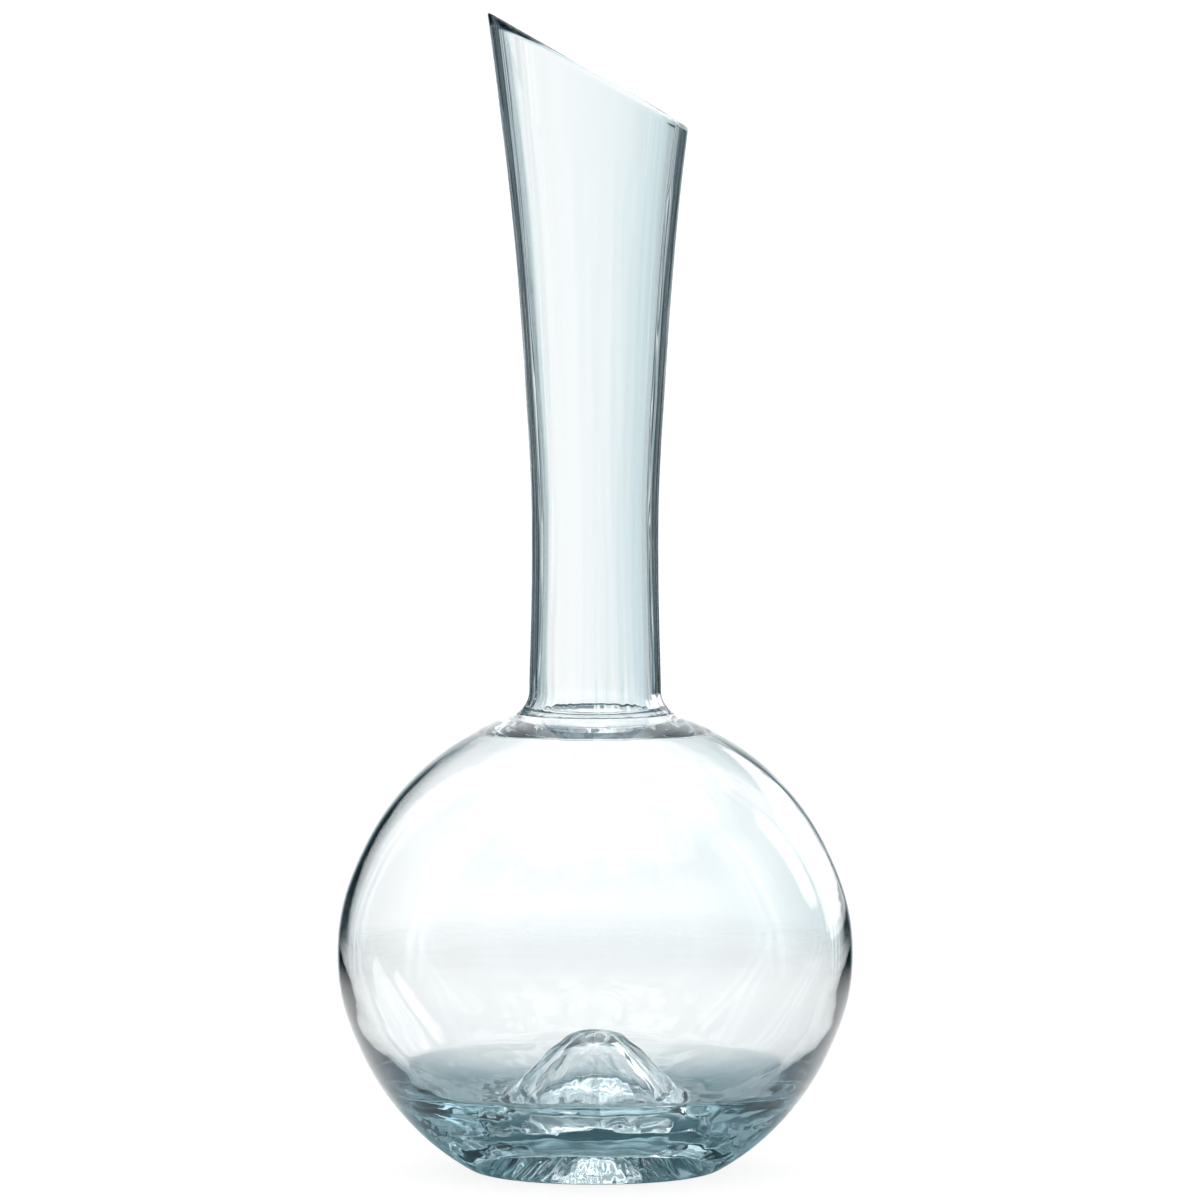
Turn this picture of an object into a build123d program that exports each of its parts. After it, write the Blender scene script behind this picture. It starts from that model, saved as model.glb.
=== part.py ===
from build123d import *
from math import cos, radians, sin, sqrt, tan
import os

# Wine decanter: a blown glass bowl with a heavy punted base, and a slim flared neck fused onto it.
#
# Both pieces are shapes turned about the Z axis. The origin is the centre of the foot, on the
# surface that the decanter stands on, with +Z up. The lip is cut on a slant, highest towards -X.
# All lengths are millimetres. Points in the outlines are (distance from the axis, height).

# Outside of the bowl: one round arc under the widest place and one above it
WIDEST_RADIUS = 75.0
WIDEST_HEIGHT = 63.0
LOWER_ARC_RADIUS = 74.6
LOWER_ARC_CENTRE = 65.7  # height on the axis
UPPER_ARC_RADIUS = 74.5
UPPER_ARC_CENTRE = 62.0
ARC_MEETS_BELLY = 25.0  # degrees above and below level where the arcs run into the widest band

# The foot: a flat ring
FOOT_EDGE_RADIUS = 5.8
FOOT_INNER_EDGE = 1.5

# The punt, pushed up into the base: its round-topped cone inside the bowl and its hollow below
PUNT_TOP = 36.7
PUNT_CROWN_RADIUS = 2.2  # of the level spot at the very top
PUNT_DOME_RADIUS = 16.5
PUNT_SLOPE = 54.0  # degrees from level
HOLLOW_TOP = 32.4
HOLLOW_CROWN_RADIUS = 2.0
HOLLOW_DOME_RADIUS = 8.0
HOLLOW_SLOPE = 56.0

# Inside of the bowl
SHOULDER_WALL = 2.1
INNER_SHOULDER_ANGLE = 62.0  # degrees above level where the inside leaves the shoulder's round
INNER_SHOULDER_SLOPE = 28.0
INNER_SIDE = (67.9, 45.7)  # the thin side thickens steadily past here
INNER_HEEL = (57.5, 28.3)
INNER_HEEL_SLOPE = 55.0  # degrees from level
HEEL_TURN = (55.0, 26.0)  # and here the inside turns in over the heavy base
HEEL_TURN_SLOPE = 25.0
VALLEY_HEIGHT = 16.0  # the lowest place inside, a ring round the punt
VALLEY_RADIUS = 4.0  # where the valley turns up into the punt

# Root of the neck, and the seam where the hot neck was set on the bowl
ROOT_RADIUS = 8.0  # of the outside sweep from the bowl's round into the neck
ROOT_PROUD = 0.75  # how much wider than the waist the neck is where the sweep ends
ROOT_WALL = 3.3
SEAM_HEIGHT = 133.2

# The neck
WAIST = (18.4, 181.0)
FLARE_LOW = (20.0, 223.0)
FLARE_HIGH = (24.6, 282.0)
FLARE_END = (31.9, 341.0)
WAIST_WALL = 3.4
LIP_WALL = 3.8

# The slanted lip, melted smooth at its edges
LIP_SLOPE = 30.0  # degrees
LIP_HEIGHT = 318.6  # on the axis
LIP_EDGE_RADIUS = 1.1


def on_circle(centre_height, radius, angle):
    """The point of a circle centred on the axis, at an angle in degrees above level."""
    return (radius * cos(radians(angle)), centre_height + radius * sin(radians(angle)))


def inward(point, wall):
    """The same height, nearer the axis by the wall."""
    return (point[0] - wall, point[1])


# The root sweep touches the upper arc of the bowl from outside. Its centre lies this far out.
root_reach = UPPER_ARC_RADIUS + ROOT_RADIUS
root_centre_radius = WAIST[0] + ROOT_PROUD + ROOT_RADIUS
root_centre_height = UPPER_ARC_CENTRE + sqrt(root_reach**2 - root_centre_radius**2)
root_start = (
    root_centre_radius * UPPER_ARC_RADIUS / root_reach,
    UPPER_ARC_CENTRE + (root_centre_height - UPPER_ARC_CENTRE) * UPPER_ARC_RADIUS / root_reach,
)
root_end = (root_centre_radius - ROOT_RADIUS, root_centre_height)
root_drop = root_centre_height - SEAM_HEIGHT
seam_outer = root_centre_radius - sqrt(ROOT_RADIUS**2 - root_drop**2)
inner_root_radius = ROOT_RADIUS + ROOT_WALL
seam_inner = root_centre_radius - sqrt(inner_root_radius**2 - root_drop**2)
inner_root_end = (root_centre_radius - inner_root_radius, root_centre_height)
seam_slope = (root_drop, -(root_centre_radius - seam_inner))  # down the inside at the seam

# The foot edge touches the lower arc from inside.
foot_reach = LOWER_ARC_RADIUS - FOOT_EDGE_RADIUS
foot_rise = LOWER_ARC_CENTRE - FOOT_EDGE_RADIUS
foot_radius = sqrt(foot_reach**2 - foot_rise**2)
foot_top = (
    foot_radius * LOWER_ARC_RADIUS / foot_reach,
    LOWER_ARC_CENTRE - foot_rise * LOWER_ARC_RADIUS / foot_reach,
)

# Where the punt's dome and the hollow's dome run into their straight flanks
punt_side = (
    PUNT_CROWN_RADIUS + PUNT_DOME_RADIUS * sin(radians(PUNT_SLOPE)),
    PUNT_TOP - PUNT_DOME_RADIUS * (1 - cos(radians(PUNT_SLOPE))),
)
hollow_side = (
    HOLLOW_CROWN_RADIUS + HOLLOW_DOME_RADIUS * sin(radians(HOLLOW_SLOPE)),
    HOLLOW_TOP - HOLLOW_DOME_RADIUS * (1 - cos(radians(HOLLOW_SLOPE))),
)
valley_radius = punt_side[0] + (punt_side[1] - VALLEY_HEIGHT) / tan(radians(PUNT_SLOPE))
corner_run = VALLEY_RADIUS * tan(radians(PUNT_SLOPE / 2))
corner_out = (valley_radius + corner_run, VALLEY_HEIGHT)
corner_up = (
    valley_radius - corner_run * cos(radians(PUNT_SLOPE)),
    VALLEY_HEIGHT + corner_run * sin(radians(PUNT_SLOPE)),
)
hollow_foot_radius = hollow_side[0] + hollow_side[1] / tan(radians(HOLLOW_SLOPE))
rim_run = FOOT_INNER_EDGE * tan(radians(HOLLOW_SLOPE / 2))
rim_out = (hollow_foot_radius + rim_run, 0)
rim_up = (
    hollow_foot_radius - rim_run * cos(radians(HOLLOW_SLOPE)),
    rim_run * sin(radians(HOLLOW_SLOPE)),
)

lower_arc_top = on_circle(LOWER_ARC_CENTRE, LOWER_ARC_RADIUS, -ARC_MEETS_BELLY)
upper_arc_bottom = on_circle(UPPER_ARC_CENTRE, UPPER_ARC_RADIUS, ARC_MEETS_BELLY)
inner_arc_top = on_circle(UPPER_ARC_CENTRE, UPPER_ARC_RADIUS - SHOULDER_WALL, INNER_SHOULDER_ANGLE)
inner_arc_bottom = on_circle(UPPER_ARC_CENTRE, UPPER_ARC_RADIUS - SHOULDER_WALL, ARC_MEETS_BELLY)
turn = radians(ARC_MEETS_BELLY)
shoulder_way = (cos(radians(INNER_SHOULDER_SLOPE)), -sin(radians(INNER_SHOULDER_SLOPE)))
heel_way = (-cos(radians(INNER_HEEL_SLOPE)), -sin(radians(INNER_HEEL_SLOPE)))
turn_way = (-cos(radians(HEEL_TURN_SLOPE)), -sin(radians(HEEL_TURN_SLOPE)))

with BuildPart() as bowl:
    with BuildSketch(Plane.XZ) as bowl_section:
        with BuildLine() as bowl_outline:
            Line((0, HOLLOW_TOP), (HOLLOW_CROWN_RADIUS, HOLLOW_TOP))
            TangentArc((HOLLOW_CROWN_RADIUS, HOLLOW_TOP), hollow_side, tangent=(1, 0))
            Line(hollow_side, rim_up)
            TangentArc(rim_up, rim_out, tangent=(rim_up[0] - hollow_side[0], rim_up[1] - hollow_side[1]))
            Line(rim_out, (foot_radius, 0))
            TangentArc((foot_radius, 0), foot_top, tangent=(1, 0))
            RadiusArc(foot_top, lower_arc_top, -LOWER_ARC_RADIUS)
            Spline(
                lower_arc_top,
                (WIDEST_RADIUS, WIDEST_HEIGHT),
                upper_arc_bottom,
                tangents=[(sin(turn), cos(turn)), (-sin(turn), cos(turn))],
            )
            RadiusArc(upper_arc_bottom, root_start, -UPPER_ARC_RADIUS)
            RadiusArc(root_start, (seam_outer, SEAM_HEIGHT), ROOT_RADIUS)
            Line((seam_outer, SEAM_HEIGHT), (seam_inner, SEAM_HEIGHT))
            Spline(
                (seam_inner, SEAM_HEIGHT),
                inner_arc_top,
                tangents=[seam_slope, shoulder_way],
            )
            RadiusArc(inner_arc_top, inner_arc_bottom, UPPER_ARC_RADIUS - SHOULDER_WALL)
            Spline(
                inner_arc_bottom,
                INNER_SIDE,
                INNER_HEEL,
                tangents=[(sin(turn), -cos(turn)), heel_way],
            )
            Spline(INNER_HEEL, HEEL_TURN, tangents=[heel_way, turn_way])
            Spline(HEEL_TURN, corner_out, tangents=[turn_way, (-1, 0)])
            TangentArc(corner_out, corner_up, tangent=(-1, 0))
            Line(corner_up, punt_side)
            TangentArc((PUNT_CROWN_RADIUS, PUNT_TOP), punt_side, tangent=(1, 0))
            Line((PUNT_CROWN_RADIUS, PUNT_TOP), (0, PUNT_TOP))
            Line((0, PUNT_TOP), (0, HOLLOW_TOP))
        make_face()
    revolve(axis=Axis.Z)
bowl.part.label = "bowl"

flare_top = inward(FLARE_END, LIP_WALL)
flare_end_slope = (FLARE_END[0] - FLARE_HIGH[0], FLARE_END[1] - FLARE_HIGH[1])
lip_plane = Plane(
    origin=(0, 0, LIP_HEIGHT),
    x_dir=(cos(radians(LIP_SLOPE)), 0, -sin(radians(LIP_SLOPE))),
    z_dir=(sin(radians(LIP_SLOPE)), 0, cos(radians(LIP_SLOPE))),
)

with BuildPart() as neck:
    with BuildSketch(Plane.XZ) as neck_section:
        with BuildLine() as neck_outline:
            RadiusArc((seam_outer, SEAM_HEIGHT), root_end, ROOT_RADIUS)
            Spline(
                root_end,
                WAIST,
                FLARE_LOW,
                FLARE_HIGH,
                FLARE_END,
                tangents=[(0, 1), flare_end_slope],
            )
            Line(FLARE_END, flare_top)
            Spline(
                flare_top,
                inward(FLARE_HIGH, LIP_WALL),
                inward(FLARE_LOW, WAIST_WALL),
                inward(WAIST, WAIST_WALL),
                inner_root_end,
                tangents=[(-flare_end_slope[0], -flare_end_slope[1]), (0, -1)],
            )
            RadiusArc(inner_root_end, (seam_inner, SEAM_HEIGHT), -inner_root_radius)
            Line((seam_inner, SEAM_HEIGHT), (seam_outer, SEAM_HEIGHT))
        make_face()
    revolve(axis=Axis.Z)
    split(bisect_by=lip_plane, keep=Keep.BOTTOM)
    lip_edges = neck.edges().filter_by(lambda edge: abs(lip_plane.to_local_coords(edge @ 0.5).Z) < 0.01)
    fillet(lip_edges, radius=LIP_EDGE_RADIUS)
neck.part.label = "neck"

os.makedirs("parts", exist_ok=True)
export_step(bowl.part, "parts/bowl.step")
export_step(neck.part, "parts/neck.step")

print("root start", root_start, "root end", root_end)
print("seam from", seam_inner, "to", seam_outer)
print("foot ring from", rim_out[0], "to", foot_radius)
for made in (bowl.part, neck.part):
    box = made.bounding_box()
    print(made.label, "volume", round(made.volume), "box", box.min, box.max, "valid", made.is_valid)
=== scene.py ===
# %% [markdown]
# # A wine decanter in clear glass
#
# The real decanter is two pieces of hot-worked glass. The bowl is blown round, with a heavy base and
# a hollow cone, the punt, pushed up into it. The neck is a tube that flares to a slanted lip, and it
# is set hot on the bowl, which leaves a ring where the two melted together. There is no paint, no
# label and no second material. Everything that the eye reads comes from three things: the outline,
# how thick the glass is from place to place, and what the room looks like when it is bent through it.
# So this lesson spends its effort on the inside of the glass and on the room, not on surface detail.
#
# The CAD model is loaded first as a fixed frame. It says how large the decanter is and where the
# neck meets the bowl, and the pieces made below stand exactly where its solids stand.

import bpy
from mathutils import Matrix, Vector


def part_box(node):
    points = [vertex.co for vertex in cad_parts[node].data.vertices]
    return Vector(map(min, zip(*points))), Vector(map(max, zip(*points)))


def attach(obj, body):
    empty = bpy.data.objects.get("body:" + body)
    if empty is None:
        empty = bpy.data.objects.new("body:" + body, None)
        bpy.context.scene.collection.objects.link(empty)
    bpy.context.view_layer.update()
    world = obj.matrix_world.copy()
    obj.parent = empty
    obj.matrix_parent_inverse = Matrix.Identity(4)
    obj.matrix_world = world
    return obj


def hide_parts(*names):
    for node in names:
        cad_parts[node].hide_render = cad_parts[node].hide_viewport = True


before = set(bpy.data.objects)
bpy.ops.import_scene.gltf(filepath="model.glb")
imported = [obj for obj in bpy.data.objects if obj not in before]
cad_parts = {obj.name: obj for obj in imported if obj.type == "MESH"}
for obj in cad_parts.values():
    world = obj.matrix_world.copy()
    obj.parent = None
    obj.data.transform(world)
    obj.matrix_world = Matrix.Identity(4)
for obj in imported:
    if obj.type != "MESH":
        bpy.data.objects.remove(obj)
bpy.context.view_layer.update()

# %% What the lesson uses from Python
from math import asin, atan2, cos, degrees, pi, radians, sin, sqrt, tan

import bpy

MM = 0.001  # lengths are worked out in millimetres, and turned to Blender's metres in one place
scene = bpy.context.scene
print("Blender", bpy.app.version_string)

# %% [markdown]
# ## Two small helpers
#
# Geometry, glass and light are all made of nodes here, so one helper adds a node, sets its choices
# and fills its inputs in a single call. An input is given a plain value, a socket, or another node,
# whose first output is then used. The second helper turns the hex colours of a paint chart, which
# are sRGB, to the linear numbers that Blender's sockets hold.

# %% Helpers for nodes and colours
SOFT = {"interpolation_type": "SMOOTHSTEP"}  # a node's setting for a change with no hard start or end


def add_node(tree, kind, inputs=(), **settings):
    """Adds a node, sets its properties, and gives its inputs values or links, by name or in order."""
    node = tree.nodes.new(kind)
    for name, value in settings.items():
        setattr(node, name, value)
    pairs = inputs.items() if isinstance(inputs, dict) else enumerate(inputs)
    for key, value in pairs:
        if isinstance(value, bpy.types.Node):
            value = value.outputs[0]
        if isinstance(value, bpy.types.NodeSocket):
            tree.links.new(value, node.inputs[key])
        else:
            node.inputs[key].default_value = value
    return node


def linear(hex_colour):
    """An sRGB hex colour as linear red, green, blue and alpha."""
    channels = [int(hex_colour[place : place + 2], 16) / 255 for place in (1, 3, 5)]
    return tuple(c / 12.92 if c <= 0.04045 else ((c + 0.055) / 1.055) ** 2.4 for c in channels) + (1,)


print("mid grey in linear light", round(linear("#808080")[0], 3))

# %% [markdown]
# ## Soda-lime glass
#
# Tableware like this is soda-lime glass: sand, soda and lime, with an index of refraction of 1.52.
# It was blown and then fire-polished, so its skin has no roughness at all, only a slow unevenness
# a few millimetres across, which makes a reflection swim a little. A trace of iron gives the body a
# blue-green colour that a thin wall hardly shows and a thick base shows plainly.
#
# That colour could be painted on the surface, but then the thin neck and the thick base would be
# equally blue. Here it is put where it is in the real glass, in the volume: light loses a little red
# for each millimetre that it travels, so the colour grows with the thickness by itself.

# %% The glass
SKIN_WAVE = 9.0  # millimetres from crest to crest of the unevenness that fire-polishing leaves
SKIN_DEPTH = 0.004  # millimetres from its crests to its troughs
GLASS_INDEX = 1.52
BODY_COLOUR = "#93BAC3"  # the less it holds of red, green or blue, the faster the glass takes that
BODY_DENSITY = 17.0  # how fast, for each metre of glass


def fire_polished_glass(name):
    """Clear glass with a smooth, slightly uneven skin and a faint blue-green body."""
    material = bpy.data.materials.new(name)
    material.use_nodes = True
    tree = material.node_tree
    tree.nodes.clear()
    place = add_node(tree, "ShaderNodeTexCoord").outputs["Object"]
    waves = {"Vector": place, "Scale": 1 / (SKIN_WAVE * MM), "Detail": 0.0}
    swim = add_node(tree, "ShaderNodeTexNoise", waves)
    relief = {"Strength": 1.0, "Distance": SKIN_DEPTH * MM, "Height": swim}
    bump = add_node(tree, "ShaderNodeBump", relief)
    skin = add_node(
        tree,
        "ShaderNodeBsdfPrincipled",
        {
            "Base Color": linear("#FFFFFF"),
            "Roughness": 0.0,
            "IOR": GLASS_INDEX,
            "Transmission Weight": 1.0,
            "Normal": bump,
        },
    )
    trace = {"Color": linear(BODY_COLOUR), "Density": BODY_DENSITY}
    body = add_node(tree, "ShaderNodeVolumeAbsorption", trace)
    add_node(tree, "ShaderNodeOutputMaterial", {"Surface": skin, "Volume": body})
    return material


clear_glass = fire_polished_glass("soda_lime_glass_fire_polished")
print("made", clear_glass.name)

# %% [markdown]
# ## Drawing a section
#
# A turned shape is drawn once, as the section on one side of its axis: pairs of distance from the
# axis and height. A stack of spheres and cones could be joined instead, but the joints would show,
# because glass magnifies every kink. So round stretches are true arcs, and the free stretches
# between them are cubic bends that leave one point and reach the next in given directions, the way
# a glassmaker's template is drawn with compasses and a spline. The last number of every arc and bend
# is how many steps it is drawn in.

# %% Drawing tools
BEND_REACH = 0.38  # how far a bend's two handles reach, as a share of the distance between its ends


def on_circle(centre, radius, angle):
    """The point of a circle at an angle in degrees above level."""
    return (centre[0] + radius * cos(radians(angle)), centre[1] + radius * sin(radians(angle)))


def arc(centre, radius, start, end, count):
    """Points along a circle from one angle to another."""
    sweep = end - start
    return [on_circle(centre, radius, start + sweep * step / count) for step in range(count + 1)]


def heading(first, second):
    """The way from one point to another, in degrees above level."""
    return degrees(atan2(second[1] - first[1], second[0] - first[0]))


def bend(start, start_way, end, end_way, count):
    """Points on a cubic curve that leaves and arrives along the given ways, in degrees."""
    reach = BEND_REACH * sqrt((end[0] - start[0]) ** 2 + (end[1] - start[1]) ** 2)
    corners = (start, on_circle(start, reach, start_way), on_circle(end, -reach, end_way), end)
    points = []
    for step in range(count + 1):
        t = step / count
        weights = ((1 - t) ** 3, 3 * t * (1 - t) ** 2, 3 * t * t * (1 - t), t**3)
        points.append(tuple(sum(w * c[axis] for w, c in zip(weights, corners)) for axis in (0, 1)))
    return points


def join(*stretches):
    """One list of points from stretches that meet end to end, without the doubled points."""
    points = list(stretches[0])
    for stretch in stretches[1:]:
        points += stretch[1:]
    return points


print("a quarter circle has", len(arc((0, 0), 1, 0, 90, 8)), "points")

# %% [markdown]
# ## The bowl's outside
#
# Outside, the bowl is nearly a ball. Under and over its widest place it is a round with its centre
# on the axis, and a short band between them makes it a little fuller than a ball. It stands on a
# narrow flat ring. Within the ring the base is pushed up into a hollow, a rounded cone where the
# thumb goes when wine is poured.

# %% Outside of the bowl
WIDEST = (round(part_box("bowl")[1][0] / MM, 1), 63.0)
UPPER_CENTRE, UPPER_RADIUS = (0, 62.0), 74.5
LOWER_CENTRE, LOWER_RADIUS = (0, 65.7), 74.6
BELLY = 25  # degrees above and below level where the two rounds run into the widest band
FOOT_EDGE = 5.8  # radius of the edge that the decanter rocks on
HOLLOW_TOP, HOLLOW_CROWN, HOLLOW_DOME, HOLLOW_SLOPE = 32.4, 2.0, 8.0, 56
HOLLOW_LIP = 0.66  # height where the hollow's flank starts to turn into the flat ring
TURN_IN, TURN_OUT = 0.5, 0.7  # that turn's two ends, each side of the flank's foot


def flank(crown, dome, slope, top):
    """Where a dome round a small flat crown, with its top at a height, runs into its flank."""
    return (crown + dome * sin(radians(slope)), top - dome * (1 - cos(radians(slope))))


foot_reach = LOWER_RADIUS - FOOT_EDGE
foot_radius = sqrt(foot_reach**2 - (LOWER_CENTRE[1] - FOOT_EDGE) ** 2)
foot_angle = -degrees(asin((LOWER_CENTRE[1] - FOOT_EDGE) / foot_reach))
hollow_side = flank(HOLLOW_CROWN, HOLLOW_DOME, HOLLOW_SLOPE, HOLLOW_TOP)
hollow_foot = hollow_side[0] + hollow_side[1] / tan(radians(HOLLOW_SLOPE))
flank_end = (hollow_foot - TURN_IN, HOLLOW_LIP)
ring_start = (hollow_foot + TURN_OUT, 0)
print("the bowl stands on a ring", round(ring_start[0], 1), "to", round(foot_radius, 1), "mm out")

# %% [markdown]
# ## Where the neck is set on
#
# The neck's root sweeps out to the bowl in a small round that just touches the bowl's own round.
# Part of that sweep belongs to the bowl and part to the neck, and the height where they meet is read
# from the frame. The inside of the root is the same sweep with a larger radius, so the glass is
# thicker there than anywhere else in the neck.

# %% Root of the neck
SEAM_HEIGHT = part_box("neck")[0][2] / MM
ROOT_RADIUS, ROOT_WALL = 8.0, 3.3
ROOT_CENTRE = (27.15, 139.9)
inner_root = ROOT_RADIUS + ROOT_WALL


def root_angle(radius, height):
    """The angle at which a round about the root's centre passes a height, on its inner side."""
    return 180 + degrees(asin((ROOT_CENTRE[1] - height) / radius))


touch = heading(UPPER_CENTRE, ROOT_CENTRE)
seam_inner = on_circle(ROOT_CENTRE, inner_root, root_angle(inner_root, SEAM_HEIGHT))
outside = join(
    [(0, HOLLOW_TOP), (HOLLOW_CROWN, HOLLOW_TOP)],
    arc((HOLLOW_CROWN, HOLLOW_TOP - HOLLOW_DOME), HOLLOW_DOME, 90, 90 - HOLLOW_SLOPE, 16),
    bend(hollow_side, -HOLLOW_SLOPE, flank_end, -HOLLOW_SLOPE, 20),
    bend(flank_end, -HOLLOW_SLOPE, ring_start, 0, 8),
    [ring_start, (foot_radius, 0)],
    arc((foot_radius, FOOT_EDGE), FOOT_EDGE, -90, foot_angle, 8),
    arc(LOWER_CENTRE, LOWER_RADIUS, foot_angle, -BELLY, 30),
    bend(on_circle(LOWER_CENTRE, LOWER_RADIUS, -BELLY), 90 - BELLY, WIDEST, 90, 20),
    bend(WIDEST, 90, on_circle(UPPER_CENTRE, UPPER_RADIUS, BELLY), 90 + BELLY, 20),
    arc(UPPER_CENTRE, UPPER_RADIUS, BELLY, touch, 40),
    arc(ROOT_CENTRE, ROOT_RADIUS, 180 + touch, root_angle(ROOT_RADIUS, SEAM_HEIGHT), 10),
)
print("outside drawn with", len(outside), "points; the seam is", round(SEAM_HEIGHT, 1), "mm up")

# %% [markdown]
# ## The bowl's inside
#
# The inside is what makes this bowl look like heavy glass. Over the shoulder and the sides the wall
# is about 2 mm. Below the widest place it thickens steadily, and at the heel the inside turns in
# sharply over a base that is 16 mm thick in its valley. A wall of one thickness, as a Solidify
# modifier gives, would look like a thin plastic ball, because a thin even wall bends no light.
#
# The steady thickening matters too. A wall that grows like a wedge is a prism, and a sudden wedge
# would squash the view of the punt behind it. One arc through three points has no sudden place.
# The inside can't be measured through glass that bends the light, so its sizes are a careful guess.

# %% Inside of the bowl
WALL = 2.1
PUNT_TOP, PUNT_CROWN, PUNT_DOME, PUNT_SLOPE = 36.7, 2.2, 16.5, 54
VALLEY_HEIGHT, VALLEY_REACH = 16.0, 3.0
VALLEY_TURN = 2.0  # how far in from the valley the punt's flank starts to turn into its floor
SIDE_TOP, SIDE_MIDDLE, SIDE_LOW = (72.6, 63.0), (67.9, 45.7), (57.5, 28.3)
SIDE_FROM = 48.0  # height where the arc through those three points takes over from the even wall
HEEL, HEEL_WAY = (55.0, 26.0), -155
SHOULDER_ANGLE, SHOULDER_WAY = 62, -28


def arc_through(first, middle, last, count):
    """Points on the circle through three points, from the first to the last."""
    squares = [x * x + y * y for x, y in (first, middle, last)]
    rows = list(zip((first, middle, last), (middle, last, first), (last, first, middle), squares))
    twice = 2 * sum(here[0] * (after[1] - before[1]) for here, after, before, _ in rows)
    x = sum(square * (after[1] - before[1]) for _, after, before, square in rows) / twice
    y = sum(square * (before[0] - after[0]) for _, after, before, square in rows) / twice
    radius = sqrt((first[0] - x) ** 2 + (first[1] - y) ** 2)
    return arc((x, y), radius, heading((x, y), first), heading((x, y), last), count)


side = [point for point in arc_through(SIDE_TOP, SIDE_MIDDLE, SIDE_LOW, 30) if point[1] <= SIDE_FROM]
punt_side = flank(PUNT_CROWN, PUNT_DOME, PUNT_SLOPE, PUNT_TOP)
valley = punt_side[0] + (punt_side[1] - VALLEY_HEIGHT) / tan(radians(PUNT_SLOPE))
valley_out = (valley + VALLEY_REACH, VALLEY_HEIGHT)
valley_up = (valley - VALLEY_TURN, VALLEY_HEIGHT + VALLEY_TURN * tan(radians(PUNT_SLOPE)))
seam_way = root_angle(inner_root, SEAM_HEIGHT) + 90
inner_shoulder = on_circle(UPPER_CENTRE, UPPER_RADIUS - WALL, SHOULDER_ANGLE)
inner_belly = on_circle(UPPER_CENTRE, UPPER_RADIUS - WALL, BELLY)
inside = join(
    bend(seam_inner, seam_way, inner_shoulder, SHOULDER_WAY, 24),
    arc(UPPER_CENTRE, UPPER_RADIUS - WALL, SHOULDER_ANGLE, BELLY, 24),
    bend(inner_belly, BELLY - 90, side[0], heading(side[0], side[1]), 30),
    side,
    bend(SIDE_LOW, heading(side[-2], side[-1]), HEEL, HEEL_WAY, 10),
    bend(HEEL, HEEL_WAY, valley_out, -180, 20),
    bend(valley_out, 180, valley_up, 180 - PUNT_SLOPE, 8),
    bend(valley_up, 180 - PUNT_SLOPE, punt_side, 180 - PUNT_SLOPE, 16),
    arc((PUNT_CROWN, PUNT_TOP - PUNT_DOME), PUNT_DOME, 90 - PUNT_SLOPE, 90, 24),
    [(PUNT_CROWN, PUNT_TOP), (0, PUNT_TOP)],
)
bowl_section = outside + inside
print("glass over the hollow", round(PUNT_TOP - HOLLOW_TOP, 1), "mm thick")
print("valley", round(valley, 1), "mm from the axis")

# %% [markdown]
# ## Turning the section
#
# A section could be turned with the Screw modifier, but that knows nothing of where it is on the
# section, and hand-worked glass is never quite even. So one Geometry Nodes tree turns both pieces.
# It starts from a flat grid. One side of the grid walks along the section and the other walks round
# the axis. Each point reads its place on the section, is moved in or out a little where the glass is
# uneven, and is then swung round to its angle. Merging closes the seam and the two poles.
#
# A tree is reused by giving it named inputs, so a helper makes an empty tree with its inputs.

# %% An empty tree with named inputs
def new_tree(name, numbers):
    """A Geometry Nodes tree that takes a shape and some named numbers and gives a shape back."""
    tree = bpy.data.node_groups.new(name, "GeometryNodeTree")
    tree.interface.new_socket("Shape", in_out="INPUT", socket_type="NodeSocketGeometry")
    for label, value in numbers.items():
        kind = "NodeSocketInt" if isinstance(value, int) else "NodeSocketFloat"
        tree.interface.new_socket(label, in_out="INPUT", socket_type=kind).default_value = value
    tree.interface.new_socket("Shape", in_out="OUTPUT", socket_type="NodeSocketGeometry")
    return tree, add_node(tree, "NodeGroupInput").outputs


def finish_tree(tree, shape):
    """Ends a tree the way that every tree here ends: real mesh, with its glass on it."""
    real = add_node(tree, "GeometryNodeRealizeInstances", {"Geometry": shape})
    glazed = add_node(tree, "GeometryNodeSetMaterial", {"Geometry": real, "Material": clear_glass})
    add_node(tree, "NodeGroupOutput", [glazed])


print("tree helpers ready")

# %% [markdown]
# ## Uneven glass
#
# A blown wall is smooth to the touch but its inside wanders by tenths of a millimetre. In the heavy
# base that is enough to break the view through it into streaks and sparkles, so leaving it out
# makes the base look like a cast lens. The wander is a noise read round the axis and along the
# section, with a fixed seed, and fine rings are added where the base was spun. Both die down up the
# wall, and fade to nothing at the start of the inside and at the axis, where a noise that is read
# round the axis has no width.

# %% The unevenness of the inner side
RING_SCALE = 420.0  # rings per metre of distance from the axis
AXIS_CALM = 4.0  # millimetres from the axis that stay even
NOISE_LOW, NOISE_HIGH = 0.3, 0.7  # the part of a noise's range that is stretched to one up or down
INNER_FADE = 0.02  # share of the section over which the unevenness grows from nothing


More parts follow.
